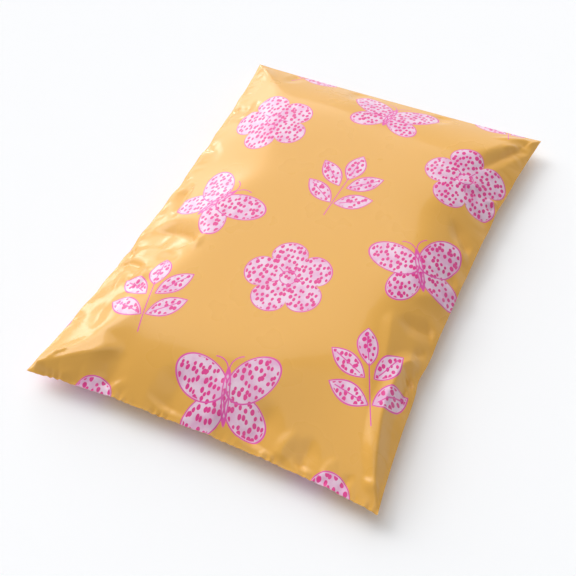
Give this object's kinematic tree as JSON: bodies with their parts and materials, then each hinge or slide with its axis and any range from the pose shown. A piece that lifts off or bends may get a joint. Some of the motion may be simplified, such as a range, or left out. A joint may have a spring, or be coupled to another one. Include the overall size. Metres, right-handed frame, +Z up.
{
  "type": "poly mailer bag",
  "caption": "Sealed polyethylene mailing bag with a soft filling, lying flat on its back with the flap folded over behind.",
  "frame": {"origin": "middle of the bag's footprint, on the surface that it lies on", "axes": "+Y along the bag towards the folded flap end, +X across it to the right as the printed front is read, +Z up through the front"},
  "size_m": [0.246, 0.346, 0.0376],
  "materials": {
    "film": "glossy printed polyethylene film, amber yellow"
  },
  "bodies": {
    "root": {"mailer_bag": "film"}
  },
  "joints": []
}
